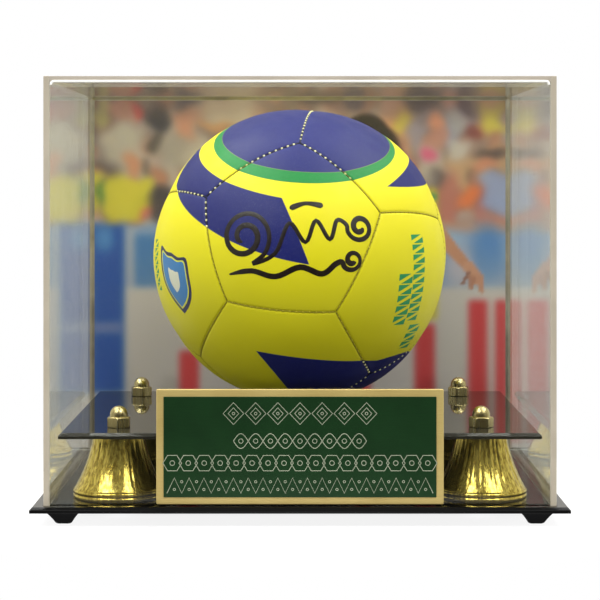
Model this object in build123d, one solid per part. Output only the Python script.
"""Football display case: a bolted stand with a ball ring, a football, and a lift-off clear cover.

Millimetres, +Z up, +X to the case's right, +Y towards its back.
The origin is the middle of the footprint, on the surface that the feet stand on.
"""
from build123d import *
import math
import os

# ---------------------------------------------------------------- driving dimensions
BASE_WIDTH = 365.0
BASE_DEPTH = 293.0
SHEET = 4.0                 # thickness of every acrylic sheet
BASE_BEVEL = 2.0

FOOT_HEIGHT = 9.7
FOOT_TOP = 22.5             # side of the square glued to the base
FOOT_BOTTOM = 10.2
FOOT_INSET = 21.5           # from the base's edges to a foot's middle
FOOT_CORNER = 1.2

COVER_WIDTH = 348.0
COVER_DEPTH = 273.0
COVER_RISE = 291.0          # from the base's top face to the cover's top face
GROOVE_DEPTH = 1.0          # locating groove milled in the base for the cover's walls
GROOVE_CLEARANCE = 0.3

PLATFORM_WIDTH = 330.0
PLATFORM_DEPTH = 260.0
PLATFORM_BEVEL = 2.0
PLATFORM_SHIFT = -1.0       # the platform sits a little forward, clear of the backdrop print

RISER_HEIGHT = 44.0
RISER_TOP_RADIUS = 17.6
RISER_WAIST_RADIUS = 22.1
RISER_WAIST_HEIGHT = 25.5   # where the waist radius is reached
RISER_SKIRT_RADIUS = 31.2   # where the flare meets the rolled rim
RISER_RIM_HEIGHT = 6.0
RISER_RIM_BULGE = 0.5
RISER_WALL = 2.2
RISER_ROOF = 3.0
RISER_BOSS_RADIUS = 7.0
RISER_RIB = 1.6
RISER_RIB_TURNS = (45, 135)
RISER_X = 126.5
RISER_SPAN_Y = 192.0        # between the front and the rear row of risers

BOLT_RADIUS = 4.0
BOLT_HOLE_RADIUS = 4.3
BOLT_HEAD_RADIUS = 8.0
BOLT_HEAD_HEIGHT = 4.3
BOLT_HEAD_FILLET = 2.4
BOLT_SOCKET_ACROSS = 5.0
BOLT_SOCKET_DEPTH = 2.4
BOLT_TIP_CHAMFER = 0.6
BOLT_TIP_GAP = 1.5          # from the bolt's tip to the end of the nut's thread
WASHER_RADIUS = 9.5
WASHER_THICKNESS = 1.2

NUT_ACROSS_FLATS = 15.2
NUT_HEX_HEIGHT = 7.2
NUT_DOME_RADIUS = 6.25
NUT_COLLAR = 1.4            # straight part between the hexagon and the round cap
NUT_THREAD_RADIUS = 4.05
NUT_THREAD_DEPTH = 9.5
NUT_CROWN_CHAMFER = 0.9
NUT_TURNS = {"front_left": 0, "front_right": 30, "rear_left": 12, "rear_right": 47}

BALL_RADIUS = 110.0         # full-size association football
BALL_LIFT = 6.0             # from the platform's top face to the ball's lowest point
BALL_SKIN = 2.6
BLADDER_WALL = 0.7
BLADDER_GAP = 0.05
BALL_YAW = -5.0             # how the ball was set down in its ring, in degrees
BALL_PITCH = -13.0
BALL_ROLL = 5.2
VALVE_RADIUS = 4.0
VALVE_FLANGE_RADIUS = 9.0
VALVE_FLANGE = 1.5
VALVE_RECESS = 0.5
VALVE_LENGTH = 14.0
NEEDLE_RADIUS = 0.8
NEEDLE_DEPTH = 8.4          # from the skin's outer surface

RING_OUTER_RADIUS = 42.0
RING_HEIGHT = 12.7
RING_FILLET = 0.8
RING_CLEARANCE = 0.3        # between the ring's inner top edge and the ball

PRINT_THICKNESS = 0.8
PRINT_SIDE_GAP = 2.0
PRINT_TOP_GAP = 1.8
PRINT_BOTTOM_GAP = 1.0

PLAQUE_WIDTH = 194.6
PLAQUE_HEIGHT = 78.1
PLAQUE_BORDER = 5.0
PLAQUE_RISE = 0.8           # from the base's top face to the plaque's lower edge
TAPE_THICKNESS = 0.8
TAPE_INSET = 3.0
BACKPLATE_THICKNESS = 1.2
BACKPLATE_CHAMFER = 0.5
FACEPLATE_THICKNESS = 0.6

OVERCUT = 1.0               # how far every cutting tool runs past the face it opens
WEDGE_REACH = 1.6 * BALL_RADIUS  # far enough for a flat-lidded wedge to clear the skin

# ---------------------------------------------------------------- levels and places
BASE_TOP = FOOT_HEIGHT + SHEET
PLATFORM_BOTTOM = BASE_TOP + RISER_HEIGHT
PLATFORM_TOP = PLATFORM_BOTTOM + SHEET
COVER_BOTTOM = BASE_TOP - GROOVE_DEPTH
COVER_TOP = BASE_TOP + COVER_RISE
COVER_CEILING = COVER_TOP - SHEET
INNER_WIDTH = COVER_WIDTH - 2 * SHEET
INNER_DEPTH = COVER_DEPTH - 2 * SHEET
BALL_CENTRE = Vector(0, 0, PLATFORM_TOP + BALL_LIFT + BALL_RADIUS)

CORNERS = {
    "front_left": (-1, -1),
    "front_right": (1, -1),
    "rear_left": (-1, 1),
    "rear_right": (1, 1),
}


def riser_place(side_x, side_y):
    return side_x * RISER_X, PLATFORM_SHIFT + side_y * RISER_SPAN_Y / 2


RISER_PLACES = [riser_place(*sides) for sides in CORNERS.values()]


def slab(width, depth, bottom, top, centre_x=0.0, centre_y=0.0):
    """A plain block given by its plan size and its lower and upper levels."""
    block = Box(width, depth, top - bottom)
    return Pos(centre_x, centre_y, (bottom + top) / 2) * block


def rod(radius, bottom, top, centre_x=0.0, centre_y=0.0):
    """An upright cylinder given by its lower and upper levels."""
    return Pos(centre_x, centre_y, (bottom + top) / 2) * Cylinder(radius, top - bottom)


def bolt_holes(bottom, top):
    holes = [rod(BOLT_HOLE_RADIUS, bottom - OVERCUT, top + OVERCUT, x, y) for x, y in RISER_PLACES]
    return Compound(children=holes)


# ---------------------------------------------------------------- stand
def make_foot(side_x, side_y):
    """Square tapered rubber bumper, narrow end down."""
    centre_x = side_x * (BASE_WIDTH / 2 - FOOT_INSET)
    centre_y = side_y * (BASE_DEPTH / 2 - FOOT_INSET)
    lower = RectangleRounded(FOOT_BOTTOM, FOOT_BOTTOM, FOOT_CORNER)
    upper = RectangleRounded(FOOT_TOP, FOOT_TOP, FOOT_CORNER)
    body = loft([Pos(0, 0, 0) * lower, Pos(0, 0, FOOT_HEIGHT) * upper])
    return Pos(centre_x, centre_y, 0) * body


def make_base_plate():
    """Black base with a bevelled rim and a shallow groove that the cover's walls drop into."""
    plate = slab(BASE_WIDTH, BASE_DEPTH, FOOT_HEIGHT, BASE_TOP)
    rim = plate.faces().sort_by(Axis.Z)[-1].edges()
    plate = chamfer(rim, BASE_BEVEL)
    outer = slab(
        COVER_WIDTH + 2 * GROOVE_CLEARANCE, COVER_DEPTH + 2 * GROOVE_CLEARANCE, COVER_BOTTOM, BASE_TOP + OVERCUT
    )
    island = slab(
        INNER_WIDTH - 2 * GROOVE_CLEARANCE,
        INNER_DEPTH - 2 * GROOVE_CLEARANCE,
        COVER_BOTTOM - OVERCUT,
        BASE_TOP + 2 * OVERCUT,
    )
    return plate - (outer - island) - bolt_holes(FOOT_HEIGHT, BASE_TOP)


def make_platform():
    plate = slab(PLATFORM_WIDTH, PLATFORM_DEPTH, PLATFORM_BOTTOM, PLATFORM_TOP, centre_y=PLATFORM_SHIFT)
    rim = plate.faces().sort_by(Axis.Z)[-1].edges()
    plate = chamfer(rim, PLATFORM_BEVEL)
    return plate - bolt_holes(PLATFORM_BOTTOM, PLATFORM_TOP)


def riser_flare(inset=0.0):
    """The bell's concave side as one arc, from the roof down to the rolled rim."""
    return ThreePointArc(
        (RISER_TOP_RADIUS - inset, RISER_HEIGHT),
        (RISER_WAIST_RADIUS - inset, RISER_WAIST_HEIGHT),
        (RISER_SKIRT_RADIUS - inset, RISER_RIM_HEIGHT),
    )


def make_riser(centre_x, centre_y):
    """Moulded bell with a rolled double rim, hollow below, with a bolt boss on four ribs."""
    half_rim = RISER_RIM_HEIGHT / 2
    bulge_radius = RISER_SKIRT_RADIUS + RISER_RIM_BULGE
    upper_bead = ThreePointArc(
        (RISER_SKIRT_RADIUS, RISER_RIM_HEIGHT),
        (bulge_radius, 1.5 * half_rim),
        (RISER_SKIRT_RADIUS, half_rim),
    )
    lower_bead = ThreePointArc(
        (RISER_SKIRT_RADIUS, half_rim),
        (bulge_radius, 0.5 * half_rim),
        (RISER_SKIRT_RADIUS, 0),
    )
    closing = Polyline((RISER_SKIRT_RADIUS, 0), (0, 0), (0, RISER_HEIGHT), (RISER_TOP_RADIUS, RISER_HEIGHT))
    outline = make_face([riser_flare(), upper_bead, lower_bead, closing])
    bell = revolve(Plane.XZ * outline, Axis.Z)

    skirt_inside = RISER_SKIRT_RADIUS - RISER_WALL
    cavity_closing = Polyline(
        (skirt_inside, RISER_RIM_HEIGHT),
        (skirt_inside, 0),
        (0, 0),
        (0, RISER_HEIGHT),
        (RISER_TOP_RADIUS - RISER_WALL, RISER_HEIGHT),
    )
    cavity_outline = make_face([riser_flare(RISER_WALL), cavity_closing])
    cavity = revolve(Plane.XZ * cavity_outline, Axis.Z)
    full_width = 2 * RISER_SKIRT_RADIUS
    cavity -= slab(full_width, full_width, RISER_HEIGHT - RISER_ROOF, RISER_HEIGHT + OVERCUT)
    cavity -= rod(RISER_BOSS_RADIUS, -OVERCUT, RISER_HEIGHT)
    for angle in RISER_RIB_TURNS:
        cavity -= Rot(0, 0, angle) * slab(full_width, RISER_RIB, -OVERCUT, RISER_HEIGHT)

    riser = bell - cavity - rod(BOLT_HOLE_RADIUS, -OVERCUT, RISER_HEIGHT + OVERCUT)
    return Pos(centre_x, centre_y, BASE_TOP) * riser


def make_washer(centre_x, centre_y):
    bottom = FOOT_HEIGHT - WASHER_THICKNESS
    disc = rod(WASHER_RADIUS, bottom, FOOT_HEIGHT, centre_x, centre_y)
    return disc - rod(BOLT_HOLE_RADIUS, bottom - OVERCUT, FOOT_HEIGHT + OVERCUT, centre_x, centre_y)


def make_bolt(centre_x, centre_y):
    """Round-headed bolt, driven from below by a hexagonal key."""
    head_top = FOOT_HEIGHT - WASHER_THICKNESS
    head_bottom = head_top - BOLT_HEAD_HEIGHT
    tip = PLATFORM_TOP + NUT_THREAD_DEPTH - BOLT_TIP_GAP
    head = rod(BOLT_HEAD_RADIUS, head_bottom, head_top)
    head = fillet(head.edges().sort_by(Axis.Z)[0], BOLT_HEAD_FILLET)
    shank = rod(BOLT_RADIUS, head_top, tip)
    shank = chamfer(shank.edges().sort_by(Axis.Z)[-1], BOLT_TIP_CHAMFER)
    socket_outline = RegularPolygon(BOLT_SOCKET_ACROSS / 2, 6, major_radius=False)
    socket = extrude(Pos(0, 0, head_bottom) * socket_outline, BOLT_SOCKET_DEPTH)
    return Pos(centre_x, centre_y, 0) * (head + shank - socket)


def make_acorn_nut(centre_x, centre_y, turn):
    """Hexagon with a chamfered crown and a round blind cap."""
    hexagon = extrude(RegularPolygon(NUT_ACROSS_FLATS / 2, 6, major_radius=False), NUT_HEX_HEIGHT)
    corner_radius = NUT_ACROSS_FLATS / 2 / math.cos(math.pi / 6)
    turned = rod(corner_radius, 0, NUT_HEX_HEIGHT)
    turned = chamfer(turned.edges().sort_by(Axis.Z)[-1], NUT_CROWN_CHAMFER)
    collar_top = NUT_HEX_HEIGHT + NUT_COLLAR
    collar = rod(NUT_DOME_RADIUS, 0, collar_top)
    cap = Pos(0, 0, collar_top) * Sphere(NUT_DOME_RADIUS)
    cap -= rod(2 * NUT_DOME_RADIUS, -2 * NUT_DOME_RADIUS, collar_top - OVERCUT)
    nut = (hexagon & turned) + collar + cap - rod(NUT_THREAD_RADIUS, -OVERCUT, NUT_THREAD_DEPTH)
    return Pos(centre_x, centre_y, PLATFORM_TOP) * Rot(0, 0, turn) * nut


def make_ball_ring():
    """Low ring that cradles the ball, its inner top edge just short of touching."""
    drop = BALL_CENTRE.Z - (PLATFORM_TOP + RING_HEIGHT)
    bore = math.sqrt((BALL_RADIUS + RING_CLEARANCE) ** 2 - drop**2)
    top = PLATFORM_TOP + RING_HEIGHT
    ring = rod(RING_OUTER_RADIUS, PLATFORM_TOP, top)
    ring = fillet(ring.edges().sort_by(Axis.Z)[-1], RING_FILLET)
    return ring - rod(bore, PLATFORM_TOP - OVERCUT, top + OVERCUT)


# ---------------------------------------------------------------- ball
def panel_directions():
    """The twelve directions that a football's pentagonal panels face, front panel first."""
    golden = (1 + math.sqrt(5)) / 2
    facing = []
    for first in (-1, 1):
        for second in (-1, 1):
            facing.append(Vector(0, first * golden, second))
            facing.append(Vector(first * golden, second, 0))
            facing.append(Vector(first, 0, second * golden))
    facing = [direction.normalized() for direction in facing]
    # Lay one panel square to the front with a corner up, then turn the ball as it was set down.
    to_front = math.degrees(math.atan2(1, golden))
    laid = [direction.rotate(Axis.X, -to_front) for direction in facing]
    turned = []
    for direction in laid:
        rolled = direction.rotate(Axis.Y, BALL_ROLL + 180)
        pitched = rolled.rotate(Axis.X, BALL_PITCH)
        turned.append(pitched.rotate(Axis.Z, BALL_YAW))
    return sorted(turned, key=lambda direction: (round(direction.Y, 3), -direction.Z))


def panel_corners(direction, directions):
    """The five corner directions of one panel, in order around it."""
    neighbours = [other for other in directions if 1 < direction.get_angle(other) < 70]
    start = neighbours[0]
    across = direction.cross(start)

    def turn(other):
        return math.atan2(other.dot(across), other.dot(start) - other.dot(direction) * start.dot(direction))

    ring = sorted(neighbours, key=turn)
    return [(direction + ring[k] + ring[k - 1]).normalized() for k in range(5)]


def panel_wedge(corners, reach):
    """A pyramid from the ball's centre through a panel's corners."""
    tips = [corner * reach for corner in corners]
    apex = Vector(0, 0, 0)
    sides = [Face(Wire.make_polygon([apex, tips[k - 1], tips[k]])) for k in range(5)]
    lid = Face(Wire.make_polygon(tips))
    return Solid(Shell(sides + [lid]))


def make_ball():
    """Twelve skin panels, the bladder behind them and the valve in the rearmost panel."""
    directions = panel_directions()
    skin = Sphere(BALL_RADIUS) - Sphere(BALL_RADIUS - BALL_SKIN)
    valve_way = Plane(origin=(0, 0, 0), z_dir=directions[-1])

    def along_valve(radius, bottom, top):
        return valve_way * rod(radius, bottom, top)

    panels = []
    for direction in directions:
        wedge = panel_wedge(panel_corners(direction, directions), WEDGE_REACH)
        panels.append(skin & wedge)
    hole = along_valve(VALVE_RADIUS, BALL_RADIUS - 2 * VALVE_LENGTH, BALL_RADIUS + OVERCUT)
    panels[-1] = panels[-1] - hole

    bladder_radius = BALL_RADIUS - BALL_SKIN - BLADDER_GAP
    inside_radius = bladder_radius - BLADDER_WALL
    bladder = Sphere(bladder_radius) - Sphere(inside_radius) - hole

    flange_top = inside_radius * math.cos(math.asin(VALVE_FLANGE_RADIUS / inside_radius)) - BLADDER_GAP
    valve = along_valve(VALVE_RADIUS, BALL_RADIUS - VALVE_LENGTH, BALL_RADIUS - VALVE_RECESS)
    valve += along_valve(VALVE_FLANGE_RADIUS, flange_top - VALVE_FLANGE, flange_top)
    valve -= along_valve(NEEDLE_RADIUS, BALL_RADIUS - NEEDLE_DEPTH, BALL_RADIUS + OVERCUT)

    nodes = {f"ball_panel_{number:02d}": panel for number, panel in enumerate(panels, 1)}
    nodes["ball_bladder"] = bladder
    nodes["ball_valve"] = valve
    place = Pos(*BALL_CENTRE)
    return {name: place * shape for name, shape in nodes.items()}


# ---------------------------------------------------------------- cover
def make_cover():
    """Five bonded panels: the sides run full depth and full height, the rest fit between them."""
    side_x = (COVER_WIDTH - SHEET) / 2
    wall_y = (COVER_DEPTH - SHEET) / 2
    print_bottom = BASE_TOP + PRINT_BOTTOM_GAP
    print_top = COVER_CEILING - PRINT_TOP_GAP
    print_y = (INNER_DEPTH - PRINT_THICKNESS) / 2
    return {
        "cover_left": slab(SHEET, COVER_DEPTH, COVER_BOTTOM, COVER_TOP, centre_x=-side_x),
        "cover_right": slab(SHEET, COVER_DEPTH, COVER_BOTTOM, COVER_TOP, centre_x=side_x),
        "cover_front": slab(INNER_WIDTH, SHEET, COVER_BOTTOM, COVER_CEILING, centre_y=-wall_y),
        "cover_back": slab(INNER_WIDTH, SHEET, COVER_BOTTOM, COVER_CEILING, centre_y=wall_y),
        "cover_top": slab(INNER_WIDTH, COVER_DEPTH, COVER_CEILING, COVER_TOP),
        "backdrop_print": slab(
            INNER_WIDTH - 2 * PRINT_SIDE_GAP, PRINT_THICKNESS, print_bottom, print_top, centre_y=print_y
        ),
    }


def make_plaque():
    """Foam tape, a bevelled brass back plate and the engraved face plate, outside the front panel."""
    bottom = BASE_TOP + PLAQUE_RISE
    top = bottom + PLAQUE_HEIGHT
    glass = -COVER_DEPTH / 2
    layers = [
        ("plaque_tape", TAPE_THICKNESS, TAPE_INSET),
        ("plaque_backplate", BACKPLATE_THICKNESS, 0.0),
        ("plaque_faceplate", FACEPLATE_THICKNESS, PLAQUE_BORDER),
    ]
    nodes = {}
    face = glass
    for name, thickness, inset in layers:
        nodes[name] = slab(
            PLAQUE_WIDTH - 2 * inset, thickness, bottom + inset, top - inset, centre_y=face - thickness / 2
        )
        face -= thickness
    front_rim = nodes["plaque_backplate"].faces().sort_by(Axis.Y)[0].edges()
    nodes["plaque_backplate"] = chamfer(front_rim, BACKPLATE_CHAMFER)
    return nodes


# ---------------------------------------------------------------- all nodes
def make_nodes():
    nodes = {"base_plate": make_base_plate(), "platform": make_platform(), "ball_ring": make_ball_ring()}
    for corner, sides in CORNERS.items():
        place = riser_place(*sides)
        nodes[f"foot_{corner}"] = make_foot(*sides)
        nodes[f"riser_{corner}"] = make_riser(*place)
        nodes[f"base_washer_{corner}"] = make_washer(*place)
        nodes[f"riser_bolt_{corner}"] = make_bolt(*place)
        nodes[f"acorn_nut_{corner}"] = make_acorn_nut(*place, NUT_TURNS[corner])
    nodes.update(make_ball())
    nodes.update(make_cover())
    nodes.update(make_plaque())
    return nodes


os.makedirs("parts", exist_ok=True)
for node_name, node_shape in make_nodes().items():
    export_step(node_shape, f"parts/{node_name}.step")
